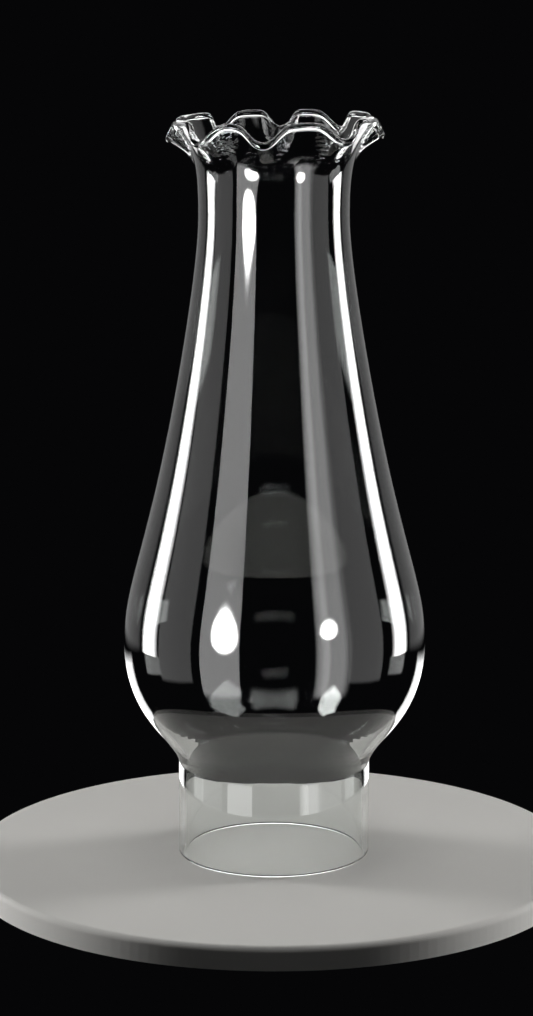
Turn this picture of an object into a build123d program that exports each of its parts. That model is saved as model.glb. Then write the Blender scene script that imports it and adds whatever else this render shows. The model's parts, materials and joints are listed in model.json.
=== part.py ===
"""Crimp-top glass chimney for a kerosene lamp, in mm, standing on its fitter collar at z = 0.

One blown piece: a straight collar that drops into the burner gallery, a pear-shaped bulb, a
long tapering neck and a flared mouth pressed into eight lobes.
"""

import os
from math import atan2, cos, pi, sin, sqrt

from build123d import *

WALL = 1.9

# Collar that stands in the burner's gallery
COLLAR_R = 33.0
COLLAR_WALL = 2.4
COLLAR_H = 31.5
BASE_ROUND = 0.6  # fire-polished edges of the base

# Bulb and neck, outside: widest ring, a ring half way up the taper, narrowest ring
BULB_R, BULB_Z = 51.9, 75.5
TAPER_R, TAPER_Z, TAPER_LEAN = 40.4, 130.0, 13.3  # degrees off upright
NECK_R, NECK_Z = 25.6, 221.0
FOOT_SWEEP, BULB_BELOW = 9.4, 28.8  # Bezier handles: the larger, the straighter
BULB_ABOVE, TAPER_BELOW = 15.1, 31.4
TAPER_ABOVE, NECK_BELOW = 26.9, 16.7
FOOT_LIFT = 1.0  # the inner foot starts higher, so the slope keeps its wall

# Flared mouth, given on the middle of the wall, growing out of the narrowest ring of the neck
LOBES = 8
FIRST_CREST = 17.0  # degrees from the front, anticlockwise seen from above
CREST_R, CREST_Z, CREST_LEAN = 32.0, 253.4, 28.0
VALLEY_R, VALLEY_Z, VALLEY_LEAN = 36.0, 247.8, 60.0
VALLEY_SOFTNESS = 0.22  # 0 would be a sharp cusp between two lobes
NECK_ABOVE, LIP_REACH = 20.5, 10.0  # Bezier handles of the flare
RIM_BEAD = 2.4


def wall_line(inset, lift):
    """Meridian from the top of the collar over the bulb to the neck, moved in by inset."""
    lean_r = sin(TAPER_LEAN * pi / 180)
    lean_z = cos(TAPER_LEAN * pi / 180)
    foot = COLLAR_R - (COLLAR_WALL if inset else 0)
    bulb, taper, neck = BULB_R - inset, TAPER_R - inset, NECK_R - inset
    Bezier(
        (foot, COLLAR_H),
        (foot, COLLAR_H + FOOT_SWEEP + lift),
        (bulb, BULB_Z - BULB_BELOW + lift),
        (bulb, BULB_Z),
    )
    Bezier(
        (bulb, BULB_Z),
        (bulb, BULB_Z + BULB_ABOVE),
        (taper + TAPER_BELOW * lean_r, TAPER_Z - TAPER_BELOW * lean_z),
        (taper, TAPER_Z),
    )
    Bezier(
        (taper, TAPER_Z),
        (taper - TAPER_ABOVE * lean_r, TAPER_Z + TAPER_ABOVE * lean_z),
        (neck, NECK_Z - NECK_BELOW),
        (neck, NECK_Z),
    )


def lower_body():
    """Collar, bulb and neck turned about the axis, up to the narrowest ring of the neck."""
    collar_in = COLLAR_R - COLLAR_WALL
    with BuildSketch(Plane.XZ) as section:
        with BuildLine():
            wall_line(0, 0)
            wall_line(WALL, FOOT_LIFT)
            Line((NECK_R, NECK_Z), (NECK_R - WALL, NECK_Z))
            Polyline((collar_in, COLLAR_H), (collar_in, 0), (COLLAR_R, 0), (COLLAR_R, COLLAR_H))
        make_face()
    body = revolve(section.sketch, axis=Axis.Z)
    return fillet(body.edges().group_by(Axis.Z)[0], BASE_ROUND)


def lobe_wave(theta):
    """1 on a lobe's crest, 0 in a valley: broad arches with narrow rounded valleys."""
    phase = LOBES / 2 * (theta - FIRST_CREST * pi / 180)
    low = VALLEY_SOFTNESS
    return (sqrt(cos(phase) ** 2 + low**2) - low) / (sqrt(1 + low**2) - low)


def flare_middle(s, theta):
    """Point (radial, up) and lean off upright on the middle of the flare's wall: a Bezier curve
    whose far end rides up and in on the crests and down and out in the valleys."""
    wave = lobe_wave(theta)
    lean = (VALLEY_LEAN + (CREST_LEAN - VALLEY_LEAN) * wave) * pi / 180
    rim_r = VALLEY_R + (CREST_R - VALLEY_R) * wave
    rim_z = VALLEY_Z + (CREST_Z - VALLEY_Z) * wave
    neck = NECK_R - WALL / 2
    r = (neck, neck, rim_r - LIP_REACH * sin(lean), rim_r)
    z = (NECK_Z, NECK_Z + NECK_ABOVE, rim_z - LIP_REACH * cos(lean), rim_z)
    t = 1 - s
    weights = (t**3, 3 * t * t * s, 3 * t * s * s, s**3)
    slopes = (-3 * t * t, 3 * t * t - 6 * t * s, 6 * t * s - 3 * s * s, 3 * s * s)
    at_r, at_z = (sum(w * v for w, v in zip(weights, axis)) for axis in (r, z))
    up_r, up_z = (sum(w * v for w, v in zip(slopes, axis)) for axis in (r, z))
    return at_r, at_z, atan2(up_r, up_z)


def flare_ring(s, side):
    """Closed ring round the mouth at s along the wall; side turns from 0 on the outer face over
    the lip to 180 degrees on the inner face."""
    half = (WALL + (RIM_BEAD - WALL) * s**4) / 2
    points = []
    for step in range(12 * LOBES):
        theta = 2 * pi * step / (12 * LOBES)
        r, z, lean = flare_middle(s, theta)
        turn = lean + pi / 2 - side * pi / 180
        r += half * sin(turn)
        z += half * cos(turn)
        points.append(Vector(r * sin(theta), -r * cos(theta), z))
    return Wire([Edge.make_spline(points, periodic=True)])


def flare():
    """Ruffled mouth: outer skin, rounded lip and inner skin on a flat ring at the neck."""
    along = [k / 8 for k in range(9)]
    outer = Shell.make_loft([flare_ring(s, 0) for s in along])
    lip = Shell.make_loft([flare_ring(1, side) for side in range(0, 181, 30)])
    inner = Shell.make_loft([flare_ring(s, 180) for s in along])
    foot = Face(flare_ring(0, 0), [flare_ring(0, 180)])
    return Solid(Shell([*outer.faces(), *lip.faces(), *inner.faces(), foot]))


if __name__ == "__main__":
    os.makedirs("parts", exist_ok=True)
    chimney = lower_body() + flare()
    export_step(chimney, "parts/chimney.step")
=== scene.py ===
"""Clear glass crimp-top chimney for a kerosene lamp, with a small studio round it.

The chimney is one closed shell of blown glass: collar, pear-shaped bulb, long tapering neck and a
flared mouth that was pressed into eight lobes by hand.
"""

import json

import bpy
import numpy as np
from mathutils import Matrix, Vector


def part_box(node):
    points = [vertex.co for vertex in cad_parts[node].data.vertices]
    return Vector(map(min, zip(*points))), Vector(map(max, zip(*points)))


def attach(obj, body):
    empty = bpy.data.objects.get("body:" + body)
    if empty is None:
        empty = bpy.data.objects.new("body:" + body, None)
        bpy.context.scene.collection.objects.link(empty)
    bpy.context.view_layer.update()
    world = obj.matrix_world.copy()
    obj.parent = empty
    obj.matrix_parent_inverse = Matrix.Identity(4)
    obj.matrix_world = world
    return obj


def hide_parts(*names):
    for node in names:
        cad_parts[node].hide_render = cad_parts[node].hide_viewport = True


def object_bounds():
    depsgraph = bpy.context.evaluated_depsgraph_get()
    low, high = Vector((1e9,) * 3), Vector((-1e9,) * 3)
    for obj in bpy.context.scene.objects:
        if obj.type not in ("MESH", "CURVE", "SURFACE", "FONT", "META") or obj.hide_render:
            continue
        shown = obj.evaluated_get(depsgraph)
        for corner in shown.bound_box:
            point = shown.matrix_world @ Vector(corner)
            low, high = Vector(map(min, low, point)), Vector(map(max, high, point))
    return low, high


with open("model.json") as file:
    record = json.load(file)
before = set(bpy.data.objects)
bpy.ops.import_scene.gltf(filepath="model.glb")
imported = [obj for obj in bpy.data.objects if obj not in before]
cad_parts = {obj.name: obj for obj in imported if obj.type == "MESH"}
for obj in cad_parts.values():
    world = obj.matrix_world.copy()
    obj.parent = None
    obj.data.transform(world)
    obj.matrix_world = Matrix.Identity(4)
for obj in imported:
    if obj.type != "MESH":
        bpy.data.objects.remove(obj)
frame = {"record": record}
CAD_BOX = [list(corner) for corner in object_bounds()]

bl_info = {
    "name": "Crimp-top lamp chimney",
    "version": (1, 0, 0),
    "blender": (4, 5, 0),
    "location": "3D View > Sidebar > Chimney",
    "description": "Blows a clear glass lamp chimney and sets a small studio round it",
    "category": "Add Mesh",
}

MM = 0.001
MOUNTS = {mount["name"]: mount for mount in frame["record"]["mounts"]}


def linear(hex_colour):
    """Linear RGB of an sRGB hex colour such as 'f0f2f1'."""
    srgb = np.array([int(hex_colour[i : i + 2], 16) for i in (0, 2, 4)]) / 255
    return tuple(np.where(srgb <= 0.04045, srgb / 12.92, ((srgb + 0.055) / 1.055) ** 2.4))


def length(name, description, default):
    """Property for a length, in metres."""
    return bpy.props.FloatProperty(
        name=name,
        description=description,
        default=default,
        unit="LENGTH",
        subtype="DISTANCE",
        precision=5,
    )


def angle(name, description, degrees):
    """Property for an angle, given in degrees and kept in radians."""
    return bpy.props.FloatProperty(
        name=name,
        description=description,
        default=np.radians(degrees),
        unit="ROTATION",
        subtype="ANGLE",
    )


def number(name, description, default):
    """Property for a plain number."""
    return bpy.props.FloatProperty(name=name, description=description, default=default, precision=4)


def colour(name, description, hex_colour):
    """Property for a colour, given as sRGB hex and kept linear."""
    return bpy.props.FloatVectorProperty(
        name=name,
        description=description,
        default=linear(hex_colour),
        subtype="COLOR",
        size=3,
        min=0,
        max=1,
    )


class ChimneyBody(bpy.types.PropertyGroup):
    """Turned part of the chimney: collar, bulb and neck. Radii are the outside's."""

    collar_radius: length("Collar radius", "Outside of the collar", MOUNTS["collar"]["dims"]["r_mm"] * MM)
    collar_inside: length(
        "Collar inside", "Inside of the collar", MOUNTS["collar_inside"]["dims"]["r_mm"] * MM
    )
    collar_height: length("Collar height", "Where the collar bends into the bulb", 31.5 * MM)
    base_round: length("Base rounding", "Fire-polished edges of the base", 0.9 * MM)
    bulb_radius: length("Bulb radius", "Widest ring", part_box("chimney")[1].x)
    bulb_height: length("Bulb height", "Height of the widest ring", 75.5 * MM)
    taper_radius: length("Taper radius", "A ring half way up the taper", 40.4 * MM)
    taper_height: length("Taper height", "Height of that ring", 130 * MM)
    taper_lean: angle("Taper lean", "How far the taper leans in at that ring", 13.3)
    neck_radius: length("Neck radius", "Narrowest ring", 25.6 * MM)
    neck_height: length("Neck height", "Height of the narrowest ring", 221 * MM)
    foot_handle: length("Foot handle", "How far the curve leaves the collar straight", 9.4 * MM)
    below_bulb: length("Handle below the bulb", "How straight the widest ring is approached", 28.8 * MM)
    above_bulb: length("Handle above the bulb", "How straight the widest ring is left", 15.1 * MM)
    below_taper: length("Handle below the taper", "How straight its ring is approached", 31.4 * MM)
    above_taper: length("Handle above the taper", "How straight its ring is left", 26.9 * MM)
    below_neck: length("Handle below the neck", "How straight the neck is approached", 16.7 * MM)
    foot_lift: length("Foot lift", "How much higher the foot's handles are on the inside", 1 * MM)
    wall: length("Wall", "Thickness of the glass above the collar", 1.9 * MM)
    unevenness: length("Unevenness", "How much the blown wall's thickness wanders", 0.03 * MM)
    fade: length("Fade", "Over this length the unevenness fades, at the collar and the mouth", 15 * MM)
    bow: length("Bow", "How far the axis bows to the right, half way up", 0.3 * MM)
    ripple_height: length("Ripple height", "Fine ripples round the foot of the bulb", 0.012 * MM)
    ripple_step: length("Ripple step", "Length in which a ripple turns by one radian", 0.35 * MM)
    ripple_place: length("Ripple place", "Height above the collar where they are strongest", 6 * MM)
    ripple_band: length("Ripple band", "How far they reach above and below that", 5 * MM)


class ChimneyMouth(bpy.types.PropertyGroup):
    """Flared and crimped mouth, on the middle of the wall."""

    crest_radius: length("Crest radius", "Rim on top of a lobe", 32.9 * MM)
    crest_height: length("Crest height", "Rim on top of a lobe", 253.1 * MM)
    crest_lean: angle("Crest lean", "How far the lip leans out there", 34)
    valley_radius: length("Valley radius", "Rim between two lobes", 35.5 * MM)
    valley_height: length("Valley height", "Rim between two lobes", 247.3 * MM)
    valley_lean: angle("Valley lean", "How far the lip leans out there", 60)
    neck_handle: length("Neck handle", "How far the flare's curve follows the neck", 20.5 * MM)
    lip_handle: length("Lip handle", "How far the flare's curve follows the lip", 10 * MM)
    crease_spread: number("Crease spread", "How much wider a crease is below the rim than at it", 1.15)
    crease_width: angle("Crease width", "Half-width of a crease, on average", 8.5)
    crease_swing: angle("Crease swing", "How much the creases' width differs round the mouth", 1.7)
    crease_side: angle("Crease side", "Where the creases are widest, from the front to the right", 30)
    crease_power: number("Crease power", "2 is a round valley, and more is flat at the bottom", 2.4)
    off_level: length("Off level", "How far the mouth's high side stands up", 0.6 * MM)
    off_centre: length("Off centre", "How far the mouth's high side stands out", 0.4 * MM)
    high_side: angle("High side", "Direction of the high side, from the front to the right", 80)
    lip_wall: length("Lip wall", "Thickness of the drawn-out glass just under the rim", 1.4 * MM)
    mark_height: length("Mark height", "Height of the ripples that the crimping iron left", 0.14 * MM)
    mark_place: length("Mark place", "How far below the rim the ripples are strongest", 7 * MM)
    mark_band: length("Mark band", "How far the ripples reach above and below that", 4.5 * MM)
    mark_step: length("Mark step", "Length in which a ripple turns by one radian", 0.3 * MM)
    mark_bend: angle("Mark bend", "Angle from the crease at which a ripple is bent by one radian", 3.5)
    bead: length("Rim bead", "Thickness of the round bead that fire polishing leaves", 2.5 * MM)


class GlassLook(bpy.types.PropertyGroup):
    """Finish of the glass."""

    tint: colour("Tint", "Faint tint that the light picks up in the glass", "fbfdfc")
    ior: number("IOR", "Refraction of soda-lime glass", 1.52)
    striae: length("Striae depth", "Depth of the fine drawn-out waves in the surface", 0.003 * MM)


class StageLook(bpy.types.PropertyGroup):
    """Floor, lights and surroundings."""

    floor_radius: length("Floor radius", "Round pale floor under the chimney", 0.105)
    floor_colour: colour("Floor colour", "Matt pale grey", "e2e0dc")
    surroundings: colour("Surroundings", "Unlit studio behind the lights", "060607")
    strip_brightness: number("Strip brightness", "Radiance of the tall strip at each side", 18)
    edge_brightness: number("Edge brightness", "Radiance of the strips as the thick edges carry it", 2)
    card_brightness: number("Card brightness", "Radiance of the white cards beside the strips", 1.1)
    front_brightness: number("Front brightness", "Radiance of the softboxes in front, left and right", 4.4)
    lamp_brightness: number("Lamp brightness", "Radiance of the hot middle of those softboxes", 40)
    kicker_brightness: number("Kicker brightness", "Radiance of the low panels behind, left and right", 4)
    overhead_brightness: number("Overhead brightness", "Radiance of the diffuser above", 1.6)
    crown_brightness: number("Crown brightness", "Radiance of the softboxes that pick out the mouth", 8)


# ---------------------------------------------------------------- shape


# Columns of the mesh round the axis, and rows along each part of the wall
COLUMNS = 256
ROWS = {"collar": 6, "bulb": 40, "taper": 20, "neck": 18, "flare": 84, "lip": 15, "base": 5}


def bezier(points, t):
    """Cubic Bezier curve through four (radius, height) control points at t, and its tangent.
    A control point may be a pair of arrays, one value for each column of the mesh."""
    t = t[:, None]
    s = 1 - t
    r, z = ([np.broadcast_to(p[axis], (1, COLUMNS)) for p in points] for axis in (0, 1))
    weights = (s**3, 3 * s * s * t, 3 * s * t * t, t**3)
    slopes = (-3 * s * s, 3 * s * s - 6 * s * t, 6 * s * t - 3 * t * t, 3 * t * t)
    at = [sum(w * v for w, v in zip(weights, axis)) for axis in (r, z)]
    along = [sum(w * v for w, v in zip(slopes, axis)) for axis in (r, z)]
    size = np.hypot(*along)
    return np.stack(at), np.stack([along[0] / size, along[1] / size])


# Directions in which the crimping iron pinched the lip by hand, in degrees from the front, turning
# towards the right.
VALLEYS = np.array([-6.0, 41.0, 95.0, 140.0, 176.0, 212.0, 267.0, 315.0])


def from_valleys(degrees):
    """Angle from each valley, in degrees, as (columns, valleys)."""
    return abs((degrees[:, None] - VALLEYS + 180) % 360 - 180)


def pinch_depth(mouth, degrees, spread=1.0):
    """1 in a valley and 0 on a lobe: one bell exp(-(angle / width) ** power) for each valley. The
    width is a mean plus a cosine round the mouth, widest where the glass was softest."""
    swing = mouth.crease_swing * np.cos(np.radians(VALLEYS) - mouth.crease_side)
    width = np.degrees(mouth.crease_width + swing) * spread
    bells = np.exp(-((from_valleys(degrees) / width) ** mouth.crease_power))
    return np.clip(bells.sum(axis=1), 0, 1)


def tool_marks(mouth, degrees, to_rim):
    """Ripples that the crimping iron left on the flanks of each crease: a sine of the distance
    from the rim less the squared angle from the crease, which bends it into nested arcs, under a
    bell of the distance from the rim, strongest half way down a flank."""
    depth = pinch_depth(mouth, degrees, mouth.crease_spread)
    flank = (4 * depth * (1 - depth)) ** 2
    bend = (from_valleys(degrees).min(axis=1) / np.degrees(mouth.mark_bend)) ** 2
    band = np.exp(-(((to_rim - mouth.mark_place) / mouth.mark_band) ** 2))
    ripple = np.sin(to_rim / mouth.mark_step - bend)
    return mouth.mark_height * flank * band * ripple


def body_side(body, inset, lift, foot):
    """Meridian from the top of the collar, at radius foot, over the bulb to the neck, moved in by
    inset: three Bezier curves that meet smoothly, upright at the collar, at the widest ring and at
    the neck. The first one's handles are raised by lift, so that the slope keeps its wall. Returns
    (2, rows, columns) of radius and height."""
    bulb = np.array([body.bulb_radius - inset, body.bulb_height])
    taper = np.array([body.taper_radius - inset, body.taper_height])
    neck = np.array([body.neck_radius - inset, body.neck_height])
    start = np.array([foot, body.collar_height])
    up = np.array([0, 1])
    inward_up = np.array([-np.sin(body.taper_lean), np.cos(body.taper_lean)])
    foot_handle = start + up * (body.foot_handle + lift)
    curves = (
        (start, foot_handle, bulb - up * (body.below_bulb - lift), bulb),
        (bulb, bulb + up * body.above_bulb, taper - inward_up * body.below_taper, taper),
        (taper, taper + inward_up * body.above_taper, neck - up * body.below_neck, neck),
    )
    rows = (ROWS["bulb"], ROWS["taper"], ROWS["neck"])
    sides = [
        bezier(curve, np.linspace(0, 1, count, endpoint=False))[0] for curve, count in zip(curves, rows)
    ]
    return np.concatenate(sides, axis=1)


def flare_middle(body, mouth, theta, t):
    """Middle of the flare's wall and its tangent: a Bezier curve that leaves the neck upright and
    ends at the rim, up and in on the lobes, down and out in the valleys. The creases below the
    valleys are the curve's lower handle, where each pinch is wider and so fades into the neck."""
    degrees = np.degrees(theta)
    uneven = np.cos(theta - mouth.high_side)
    lift = np.stack([mouth.off_centre * uneven, mouth.off_level * uneven])
    valley = np.array([[mouth.valley_radius], [mouth.valley_height]]) + lift
    lobe = np.array([[mouth.crest_radius], [mouth.crest_height]]) + lift
    depth = pinch_depth(mouth, degrees)
    soft_depth = pinch_depth(mouth, degrees, mouth.crease_spread)
    rim = lobe + (valley - lobe) * depth
    soft_rim = lobe + (valley - lobe) * soft_depth
    lean = mouth.crest_lean + (mouth.valley_lean - mouth.crest_lean) * soft_depth
    neck = np.stack(
        [np.full(COLUMNS, body.neck_radius - body.wall / 2), np.full(COLUMNS, body.neck_height)]
    )
    above = neck + np.array([[0], [mouth.neck_handle]])
    below = soft_rim - mouth.lip_handle * np.stack([np.sin(lean), np.cos(lean)])
    return bezier((neck, above, below, rim), t)


def shell_rings(body, mouth, theta):
    """Rings of the whole shell in order, up the outside, over the lip, down the inside and under
    the base back to the start, as (2, rows, columns) of radius and height, and the number of rings
    on the inside. The flare's wall thins evenly towards the rim, where a round bead swells out of
    it: the thickness is the sixth root of the sum of the wall's sixth power and of the bead's."""
    crowding = 1.7  # more than 1 sets the rings closer together towards the bead
    sharpness = 6  # the more, the shorter the blend from wall to bead
    t = 1 - np.linspace(1, 0, ROWS["flare"]) ** crowding
    middle, along = flare_middle(body, mouth, theta, t)
    outward = np.stack([along[1], -along[0]])
    steps = np.hypot(*np.diff(middle, axis=1))
    to_rim = np.append(np.cumsum(steps[::-1], axis=0)[::-1], np.zeros((1, COLUMNS)), axis=0)
    wall = body.wall + (mouth.lip_wall - body.wall) * t[:, None]
    bead = 2 * np.sqrt(np.clip((mouth.bead / 2) ** 2 - to_rim**2, 0, None))
    half = (wall**sharpness + bead**sharpness) ** (1 / sharpness) / 2
    half = half + tool_marks(mouth, np.degrees(theta), to_rim)
    turn = np.linspace(0, np.pi, ROWS["lip"] + 2)[1:-1, None]
    lip = middle[:, -1:] + half[-1:] * (np.cos(turn) * outward[:, -1:] + np.sin(turn) * along[:, -1:])
    collar_t = np.linspace(0, 1, ROWS["collar"], endpoint=False)
    rounding = body.base_round
    heights = rounding + (body.collar_height - rounding) * collar_t[:, None] + np.zeros(COLUMNS)
    outer_collar = np.stack([np.full_like(heights, body.collar_radius), heights])
    inner_collar = np.stack([np.full_like(heights, body.collar_inside), heights])
    corner = np.linspace(0, np.pi / 2, ROWS["base"] + 1, endpoint=False)[1:, None] + np.zeros(COLUMNS)
    inner_base = np.stack(
        [body.collar_inside + rounding * (1 - np.cos(corner)), rounding * (1 - np.sin(corner))]
    )
    outer_base = np.stack(
        [body.collar_radius - rounding * (1 - np.sin(corner)), rounding * (1 - np.cos(corner))]
    )
    outer = [
        outer_base,
        outer_collar,
        body_side(body, 0, 0, body.collar_radius),
        middle + half * outward,
    ]
    inner = [
        inner_collar,
        body_side(body, body.wall, body.foot_lift, body.collar_inside),
        middle - half * outward,
    ]
    inner = np.concatenate(inner, axis=1)[:, ::-1]
    return np.concatenate([*outer, lip, inner, inner_base], axis=1), inner.shape[1]


def closed_mesh(name, points):
    """Mesh of a grid of points that closes on itself both ways, with its faces pointing outwards."""
    rows, columns = points.shape[:2]
    row, column = np.meshgrid(np.arange(rows), np.arange(columns), indexing="ij")
    row_after, column_after = (row + 1) % rows, (column + 1) % columns
    corners = np.stack(
        [
            row * columns + column,
            row * columns + column_after,
            row_after * columns + column_after,
            row_after * columns + column,
        ],
        axis=-1,
    ).reshape(-1, 4)
    mesh = bpy.data.meshes.new(name)
    mesh.from_pydata(points.reshape(-1, 3), [], corners)
    mesh.polygons.foreach_set("use_smooth", np.ones(len(corners), bool))
    mesh.update()
    piece = bpy.data.objects.new(name, mesh)
    bpy.context.scene.collection.objects.link(piece)
    return piece


def blown_glass_shell(body, mouth):
    """The rings of the chimney, turned about the axis, with what hand work leaves on it: a wall
    whose inner face wanders by a sum of three slow waves that wind round it, an axis that bows
    by a fraction of a millimetre, and fine tool ripples round the foot of the bulb."""
    theta = np.linspace(0, 2 * np.pi, COLUMNS, endpoint=False)
    (radius, height), inner_rows = shell_rings(body, mouth, theta)
    rows = radius.shape[0]
    share = height / body.neck_height
    slow = np.cos(2 * theta + 9 * share)
    slow = slow + 0.7 * np.cos(3 * theta - 14 * share + 1)
    slow = slow + 0.5 * np.cos(5 * theta + 5 * share + 2)
    inner_end = rows - ROWS["base"]
    inside = np.zeros((rows, 1))
    inside[inner_end - inner_rows : inner_end] = 1
    fade_in = np.clip((height - body.collar_height) / body.fade, 0, 1)
    fade_out = np.clip((mouth.valley_height - height) / body.fade, 0, 1)
    radius = radius + inside * fade_in * fade_out * body.unevenness / 2 * slow
    above_collar = height - body.collar_height
    foot = np.exp(-(((above_collar - body.ripple_place) / body.ripple_band) ** 2))
    ripple = np.sin(height / body.ripple_step + 2 * np.cos(3 * theta) + np.cos(11 * theta))
    radius = radius + body.ripple_height * foot * ripple
    bow = body.bow * np.sin(np.pi * np.clip(share, 0, 1))
    points = np.stack([radius * np.sin(theta) + bow, -radius * np.cos(theta), height], axis=-1)
    return closed_mesh("chimney_glass", points)


# ---------------------------------------------------------------- materials


def add_node(tree, kind, inputs=None, links=None, **settings):
    """Adds a node with its settings, fixed inputs and links from other nodes' outputs."""
    made = tree.nodes.new(kind)
    for name, value in settings.items():
        setattr(made, name, value)
    for name, value in (inputs or {}).items():
        made.inputs[name].default_value = value
    for name, output in (links or {}).items():
        tree.links.new(output, made.inputs[name])
    return made


def new_material(name):
    """Material with an empty node tree, and that tree."""
    material = bpy.data.materials.new(name)
    material.use_nodes = True
    material.node_tree.nodes.clear()
    return material, material.node_tree


def soda_lime_glass(look):
    """Blown and fire-polished soda-lime glass: water-clear, mirror-smooth, with faint drawn-out
    waves along its height that make the highlights' edges swim."""
    material, tree = new_material("soda_lime_glass_blown")
    place = add_node(tree, "ShaderNodeTexCoord")
    # Waves about 9 mm apart round the wall and 70 mm long up it.
    stretch = add_node(
        tree, "ShaderNodeMapping", {"Scale": (1, 1, 0.13)}, {"Vector": place.outputs["Object"]}
    )
    waves = add_node(
        tree,
        "ShaderNodeTexNoise",
        {"Scale": 1 / (9 * MM), "Detail": 2.0, "Roughness": 0.45},
        {"Vector": stretch.outputs["Vector"]},
    )
    bump = add_node(
        tree,
        "ShaderNodeBump",
        {"Strength": 1.0, "Distance": look.striae},
        {"Height": waves.outputs["Fac"]},
    )
    shader = add_node(
        tree,
        "ShaderNodeBsdfPrincipled",
        {
            "Base Color": (*look.tint, 1),
            "Roughness": 0.0,
            "IOR": look.ior,
            "Transmission Weight": 1.0,
        },
        {"Normal": bump.outputs["Normal"]},
    )
    add_node(tree, "ShaderNodeOutputMaterial", links={"Surface": shader.outputs["BSDF"]})
    return material


def matt_floor(look):
    """Matt painted board: an even pale grey with a trace of roller texture."""
    material, tree = new_material("matt_painted_board")
    place = add_node(tree, "ShaderNodeTexCoord")
    # Stipple about 1.5 mm apart, as a short-pile roller leaves.
    stipple = add_node(
        tree,
        "ShaderNodeTexNoise",
        {"Scale": 1 / (1.5 * MM), "Detail": 3.0},
        {"Vector": place.outputs["Object"]},
    )
    bump = add_node(
        tree,
        "ShaderNodeBump",
        {"Strength": 0.2, "Distance": 0.05 * MM},
        {"Height": stipple.outputs["Fac"]},
    )
    shader = add_node(
        tree,
        "ShaderNodeBsdfPrincipled",
        {"Base Color": (*look.floor_colour, 1), "Roughness": 0.9, "Specular IOR Level": 0.0},
        {"Normal": bump.outputs["Normal"]},
    )
    add_node(tree, "ShaderNodeOutputMaterial", links={"Surface": shader.outputs["BSDF"]})
    return material


# ---------------------------------------------------------------- stage


def round_floor(look):
    """Small flat disc with a rounded upper edge, as a profile turned about the axis. It closes on a
    pinhole in the middle."""
    columns, thickness, edge, pinhole = 192, 8 * MM, 2 * MM, 0.01 * MM
    corner = np.linspace(0, np.pi / 2, 7)
    rounded_radius = look.floor_radius - edge + edge * np.sin(corner)
    radius = np.concatenate([[pinhole], rounded_radius, [look.floor_radius, pinhole]])
    height = np.concatenate([[0], -edge + edge * np.cos(corner), [-thickness, -thickness]])
    radius, height = radius[::-1, None], height[::-1, None]
    theta = np.linspace(0, 2 * np.pi, columns, endpoint=False)
    points = [radius * np.sin(theta), -radius * np.cos(theta), height + 0 * theta]
    floor = closed_mesh("floor", np.stack(points, axis=-1))
    floor.data.shade_flat()
    floor.data.materials.append(matt_floor(look))
    return floor


def fade_of(tree, shape, edge):
    """Brightness over the face of an area light: 1 in the middle, falling to 0 at its edges over a
    share of each half given by edge (across, up). On an ellipse both shares count from the middle
    outwards, and the two falls are multiplied."""
    surface = add_node(tree, "ShaderNodeNewGeometry")
    middle = add_node(
        tree,
        "ShaderNodeVectorMath",
        {1: (0.5, 0.5, 0)},
        {0: surface.outputs["Parametric"]},
        operation="SUBTRACT",
    )
    if shape == "ELLIPSE":
        radial = add_node(tree, "ShaderNodeVectorMath", links={0: middle.outputs[0]}, operation="LENGTH")
        distances = [radial.outputs["Value"]] * 2
    else:
        away = add_node(tree, "ShaderNodeVectorMath", links={0: middle.outputs[0]}, operation="ABSOLUTE")
        axes = add_node(tree, "ShaderNodeSeparateXYZ", links={0: away.outputs[0]})
        distances = [axes.outputs["X"], axes.outputs["Y"]]
    falls = [
        add_node(
            tree,
            "ShaderNodeMapRange",
            {"From Min": 0.5, "From Max": 0.5 - 0.5 * share, "To Min": 0, "To Max": 1},
            {"Value": distance},
            interpolation_type="SMOOTHSTEP",
        ).outputs["Result"]
        for distance, share in zip(distances, edge)
    ]
    product = add_node(tree, "ShaderNodeMath", links={0: falls[0], 1: falls[1]}, operation="MULTIPLY")
    return product.outputs[0]


def area_light(name, place, facing, size, radiance, edge, shows=("glossy",), shape="RECTANGLE"):
    """Area light with soft edges, which only the kinds of ray in shows meet. The camera never sees
    it directly."""
    light = bpy.data.lights.new(name, "AREA")
    light.shape = shape
    light.size, light.size_y = size
    filled = np.pi / 4 if shape == "ELLIPSE" else 1
    light.energy = radiance * np.pi * size[0] * size[1] * filled
    light.use_nodes = True
    tree = light.node_tree
    tree.links.new(fade_of(tree, shape, edge), tree.nodes["Emission"].inputs["Strength"])
    lamp = bpy.data.objects.new(name, light)
    lamp.location = place
    lamp.rotation_euler = Vector(facing).to_track_quat("-Z", "Y").to_euler()
    lamp.visible_camera = False
    lamp.visible_diffuse = "diffuse" in shows
    lamp.visible_glossy = "glossy" in shows
    lamp.visible_transmission = "transmission" in shows
    bpy.context.scene.collection.objects.link(lamp)


def softbox(
    name, azimuths, elevations, radiance, edge, shows=("glossy",), shape="RECTANGLE", distance=2.5
):
    """Upright area light that fills a range of azimuths (degrees, 0 in front, 90 on the right)
    and of elevations, as seen from the middle of the chimney."""
    azimuth, half = np.radians(np.mean(azimuths)), np.radians(abs(azimuths[1] - azimuths[0]) / 2)
    low, high = distance * np.tan(np.radians(elevations))
    away = np.array([np.sin(azimuth), -np.cos(azimuth), 0])
    middle = CAD_BOX[1][2] / 2 + (low + high) / 2
    place = away * distance + (0, 0, middle)
    size = (2 * distance * np.tan(half), high - low)
    area_light(name, place, -away, size, radiance, edge, shows, shape)


def spot(name, azimuths, elevations, distance, radiance, fall):
    """Elliptical hot spot close to the chimney, brightest in its middle."""
    softbox(name, azimuths, elevations, radiance, (fall, fall), shape="ELLIPSE", distance=distance)


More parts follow.
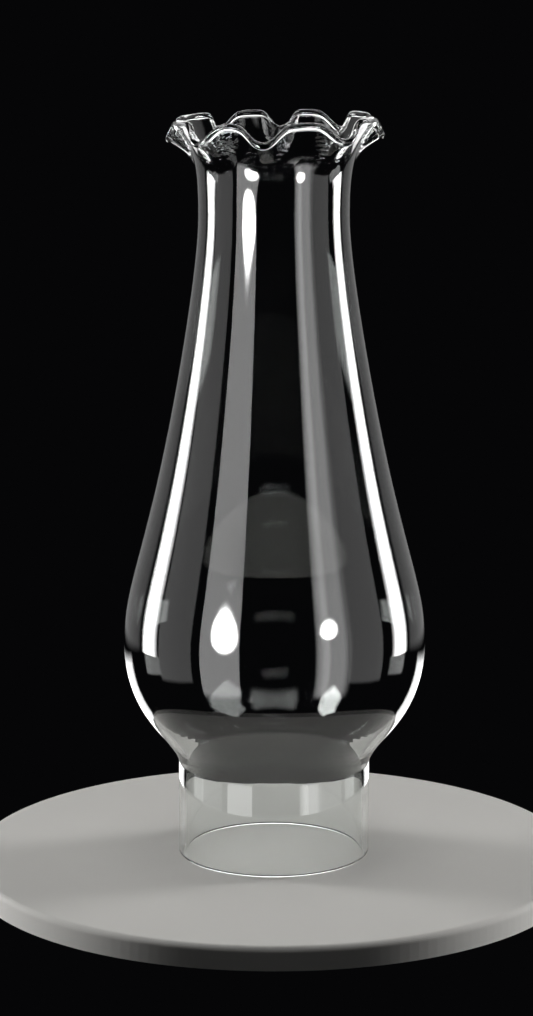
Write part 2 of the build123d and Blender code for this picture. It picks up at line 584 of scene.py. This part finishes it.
def crown(name, azimuth, elevation, size, radiance):
    """Softbox up in one direction from the mouth, turned to face it."""
    distance = 1.4
    azimuth, elevation = np.radians((azimuth, elevation))
    level = np.cos(elevation)
    away = np.array([np.sin(azimuth) * level, -np.cos(azimuth) * level, np.sin(elevation)])
    place = away * distance + (0, 0, CAD_BOX[1][2])
    area_light(name, place, -away, size, radiance, (0.2, 0.2), ("glossy", "transmission"))


def side_lights(look):
    """At each side a tall strip, its paler twin for the rays that pass through the glass, a white
    card in front of it and one behind it, and a low panel behind."""
    strip, edge, card = look.strip_brightness, look.edge_brightness, look.card_brightness
    for side, name, front_card in ((1, "right", (57, 89.5)), (-1, "left", (64.5, 98))):
        turned = np.array([side, side])
        at_side, behind, far_behind = turned * (98, 120), turned * (120, 165), turned * (138, 170)
        softbox("strip_" + name, at_side, (-13.6, 22), strip, (0.6, 0.02), ("diffuse", "glossy"))
        softbox("edge_" + name, at_side, (-22, 16), edge, (0.3, 0.1), ("transmission",))
        softbox("card_" + name, turned * front_card, (-24, 40), card, (0.1, 0.1))
        softbox("back_card_" + name, behind, (-15, 40), 0.4 * card, (0.3, 0.1))
        softbox("kicker_" + name, far_behind, (-34, -15), look.kicker_brightness, (0.3, 0.3))


def front_lights(look):
    """Softboxes in front, left and right, and the hot spots of their lamps."""
    front, lamp = look.front_brightness, look.lamp_brightness
    softbox("front_left", (-58, -26), (-34, 22), front, (0.04, 0.3))
    softbox("front_right", (29.5, 61), (-34, 22), front, (0.6, 0.3))
    softbox("front_right_core", (29.5, 43), (-34, 22), 0.5 * front, (0.4, 0.3))
    spot("lamp_left", (-46, -26), (-12.5, 5.8), 0.275, lamp, 0.4)
    spot("lamp_right", (30, 47), (-6.2, 3.7), 0.313, lamp, 0.4)
    spot("tube_left", (-50, -25), (-8.8, 12.5), 0.87, lamp, 0.3)


def lights_above(look):
    """Diffuser overhead, which lights the floor, and softboxes that pick out the mouth."""
    above, down, size = (0, 0, 2.2), (0, 0, -1), (1.6, 2.4)
    everything = ("diffuse", "glossy", "transmission")
    area_light("overhead", above, down, size, look.overhead_brightness, (0.3, 0.3), everything)
    crown("crown_right", 75, 50, (0.8, 0.4), 0.35 * look.crown_brightness)
    crown("crown_left", -84, 46, (0.4, 0.3), 1.5 * look.crown_brightness)
    crown("crown_back", 180, 20, (1.8, 0.4), 0.5 * look.crown_brightness)


def studio_camera():
    """Long lens a little over a metre in front and a hand's breadth above the mouth, looking down
    by eleven degrees."""
    aside, back, height = -0.0025, 1.089, 0.3368
    looks_down = np.radians(11.2)
    camera = bpy.data.objects.new("camera", bpy.data.cameras.new("camera"))
    camera.location = (aside, -back, height)
    camera.rotation_euler = (np.pi / 2 - looks_down, 0, 0)
    camera.data.lens = 115.2
    bpy.context.scene.collection.objects.link(camera)
    bpy.context.scene.camera = camera


# ---------------------------------------------------------------- operators


class CHIMNEY_OT_glass(bpy.types.Operator):
    """Blow the glass chimney"""

    bl_idname = "chimney.glass"
    bl_label = "Glass chimney"

    def execute(self, context):
        scene = context.scene
        piece = blown_glass_shell(scene.chimney_body, scene.chimney_mouth)
        piece.data.materials.append(soda_lime_glass(scene.chimney_glass))
        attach(piece, "root")
        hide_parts("chimney")
        return {"FINISHED"}


class CHIMNEY_OT_stage(bpy.types.Operator):
    """Set the floor, the softboxes and the camera"""

    bl_idname = "chimney.stage"
    bl_label = "Stage"

    def execute(self, context):
        scene = context.scene
        look = scene.chimney_stage
        round_floor(look)
        side_lights(look)
        front_lights(look)
        lights_above(look)
        studio_camera()
        world = bpy.data.worlds.new("studio")
        world.use_nodes = True
        world.node_tree.nodes["Background"].inputs["Color"].default_value = (*look.surroundings, 1)
        scene.world = world
        scene.view_settings.view_transform = "Standard"
        scene.cycles.max_bounces = 24
        scene.cycles.transmission_bounces = 24
        scene.cycles.glossy_bounces = 12
        return {"FINISHED"}


class CHIMNEY_PT_panel(bpy.types.Panel):
    """Sidebar list of what the chimney is made of"""

    bl_idname = "CHIMNEY_PT_panel"
    bl_label = "Lamp chimney"
    bl_space_type = "VIEW_3D"
    bl_region_type = "UI"
    bl_category = "Chimney"

    def draw(self, context):
        scene = context.scene
        for group in (scene.chimney_body, scene.chimney_mouth, scene.chimney_glass, scene.chimney_stage):
            box = self.layout.box()
            for name in group.bl_rna.properties.keys():
                if name not in ("rna_type", "name"):
                    box.prop(group, name)
        self.layout.operator("chimney.glass")
        self.layout.operator("chimney.stage")


CLASSES = (
    ChimneyBody,
    ChimneyMouth,
    GlassLook,
    StageLook,
    CHIMNEY_OT_glass,
    CHIMNEY_OT_stage,
    CHIMNEY_PT_panel,
)
GROUPS = {
    "chimney_body": ChimneyBody,
    "chimney_mouth": ChimneyMouth,
    "chimney_glass": GlassLook,
    "chimney_stage": StageLook,
}


def register():
    for cls in CLASSES:
        bpy.utils.register_class(cls)
    for name, group in GROUPS.items():
        setattr(bpy.types.Scene, name, bpy.props.PointerProperty(type=group))


def unregister():
    for name in GROUPS:
        delattr(bpy.types.Scene, name)
    for cls in reversed(CLASSES):
        bpy.utils.unregister_class(cls)


def main():
    register()
    bpy.ops.chimney.glass()
    bpy.ops.chimney.stage()


if __name__ == "__main__":
    main()
